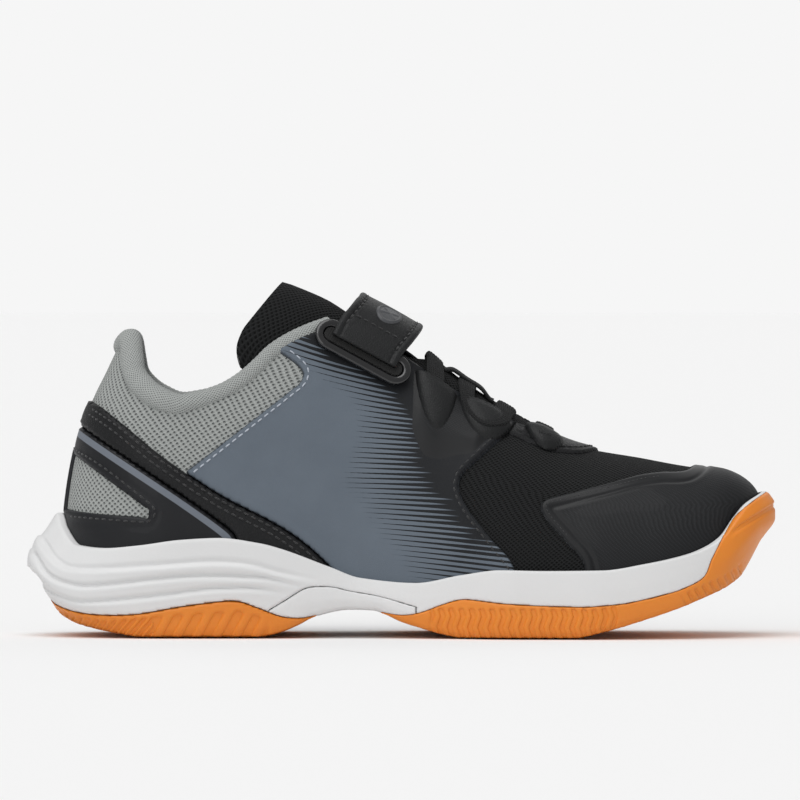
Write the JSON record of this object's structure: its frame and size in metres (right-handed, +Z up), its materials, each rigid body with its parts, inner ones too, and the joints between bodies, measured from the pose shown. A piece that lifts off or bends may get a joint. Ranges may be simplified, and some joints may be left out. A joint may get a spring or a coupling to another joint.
{
  "type": "court shoe",
  "caption": "Low-cut junior court shoe with a knit heel, lace and hook-and-loop strap closure, white foam midsole and gum rubber outsole with a toe guard.",
  "frame": {"origin": "centre of the bounding box in plan, on the ground", "axes": "+X towards the toe, +Y to the lateral side of the left foot, +Z up"},
  "size_m": [0.2296, 0.0852, 0.1082],
  "materials": {
    "gum_rubber": "satin gum rubber",
    "midsole_foam": "matte white moulded foam",
    "shank_plastic": "smooth white plastic",
    "board": "matte fibre board",
    "grey_knit": "coarse grey knit",
    "grey_roll": "fine grey knit",
    "black_mesh": "black open mesh",
    "black_leather": "grained black synthetic leather",
    "black_film": "satin black film",
    "slate_leather": "matte slate blue synthetic leather with a printed fade",
    "backing": "dark foam-backed fabric",
    "gloss_black": "glossy black plastic",
    "hook_tape": "black hook-and-loop tape and braid"
  },
  "bodies": {
    "shoe": {"heel_mesh": "grey_knit", "heel_counter": "board", "collar_padding": "backing", "collar_lining": "grey_knit", "quarter_medial": "slate_leather", "quarter_backing_medial": "backing", "quarter_lateral": "slate_leather", "quarter_backing_lateral": "backing", "heel_overlay": "black_leather", "heel_band": "black_leather", "vamp_mesh": "black_mesh", "vamp_foam": "backing", "toe_puff": "board", "vamp_lining": "backing", "toe_cap": "black_film", "vamp_facing": "black_leather", "outsole_heel": "gum_rubber", "outsole_forefoot": "gum_rubber", "arch_shank": "shank_plastic", "midsole": "midsole_foam", "strobel_board": "board", "collar_binding": "grey_roll", "tongue_lower": "black_mesh", "tongue_lower_lining": "backing", "slot_frame": "gloss_black", "strap_anchor": "hook_tape", "loop_patch": "hook_tape", "eyestay_medial": "black_leather", "eyestay_lateral": "black_leather", "lace": "hook_tape", "lace_loop_medial_1": "black_leather", "lace_loop_medial_2": "black_leather", "lace_loop_lateral_1": "black_leather", "lace_loop_lateral_2": "black_leather", "lace_loop_medial_3": "black_leather", "lace_keeper": "hook_tape"},
    "strap_flap": {"strap": "black_leather", "strap_lining": "backing", "hook_patch": "hook_tape", "strap_badge": "gloss_black"},
    "tongue_tip": {"tongue_top": "black_mesh", "tongue_padding": "backing", "tongue_lining": "backing"},
    "insole_pad": {"insole": "midsole_foam", "insole_topcover": "backing"}
  },
  "joints": [
    {"name": "strap_open", "type": "hinge", "parent": "shoe", "child": "strap_flap", "pos_m": [-0.01136, -0.02084, 0.08785], "axis": [0.8772, 0, -0.4801], "range_deg": [0, 110]},
    {"name": "tongue_fold", "type": "hinge", "parent": "shoe", "child": "tongue_tip", "pos_m": [-0.01203, 0, 0.09549], "axis": [0, 1, 0], "range_deg": [0, 24]},
    {"name": "insole_lift", "type": "hinge", "parent": "shoe", "child": "insole_pad", "pos_m": [0.1053, 0, 0.0255], "axis": [0, 1, 0], "range_deg": [0, 4]}
  ]
}
